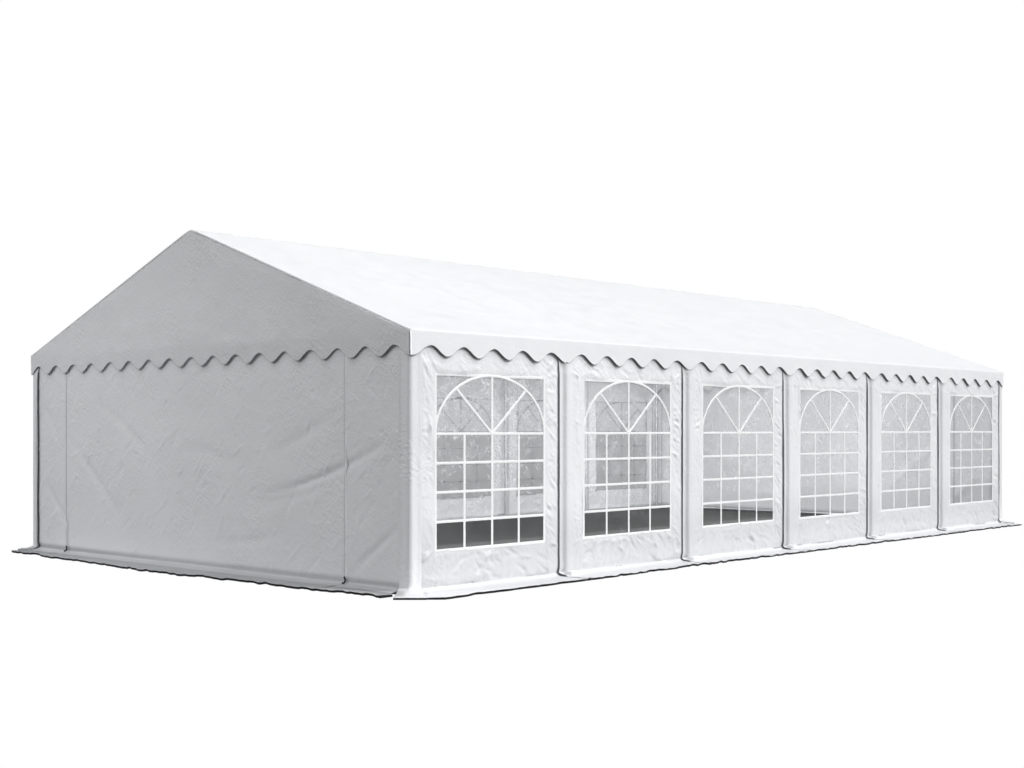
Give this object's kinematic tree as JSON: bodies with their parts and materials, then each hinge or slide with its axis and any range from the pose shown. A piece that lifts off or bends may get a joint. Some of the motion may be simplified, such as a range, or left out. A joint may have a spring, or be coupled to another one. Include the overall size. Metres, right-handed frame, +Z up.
{
  "type": "marquee tent",
  "caption": "Gabled rectangular marquee tent: white PVC cover with scalloped valances, barred windows along both long walls and ground flaps, over a frame of steel tubes.",
  "frame": {"origin": "centre of the ground plan, at ground level", "axes": "+X along the ridge, +Z up; the long wall at -Y is the front, and the gable at -X is the near one"},
  "size_m": [12.7406, 6.7406, 3.31],
  "materials": {
    "cover": "white PVC-coated polyester, smooth, slightly glossy",
    "film": "clear flexible PVC film, slightly creased",
    "steel": "galvanised tube"
  },
  "bodies": {
    "root": {"arch_1": "steel", "arch_2": "steel", "arch_3": "steel", "arch_4": "steel", "arch_5": "steel", "arch_6": "steel", "arch_7": "steel", "ridge_purlin": "steel", "eave_purlin_front": "steel", "eave_purlin_back": "steel", "mid_purlin_front": "steel", "mid_purlin_back": "steel", "ground_bar_front": "steel", "ground_bar_back": "steel", "ground_bar_near": "steel", "ground_bar_far": "steel", "roof_cover": "cover", "valance_front": "cover", "valance_back": "cover", "gable_top_near": "cover", "gable_top_far": "cover", "gable_side_left_near": "cover", "gable_door_near": "cover", "gable_side_right_near": "cover", "gable_side_left_far": "cover", "gable_door_far": "cover", "gable_side_right_far": "cover", "corner_cover_near_front": "cover", "corner_cover_near_back": "cover", "corner_cover_far_front": "cover", "corner_cover_far_back": "cover", "window_panel_front_1": "cover", "window_panel_front_2": "cover", "window_panel_front_3": "cover", "window_panel_front_4": "cover", "window_panel_front_5": "cover", "window_panel_front_6": "cover", "window_panel_back_1": "cover", "window_panel_back_2": "cover", "window_panel_back_3": "cover", "window_panel_back_4": "cover", "window_panel_back_5": "cover", "window_panel_back_6": "cover", "window_film_front": "film", "window_film_back": "film"}
  },
  "joints": []
}
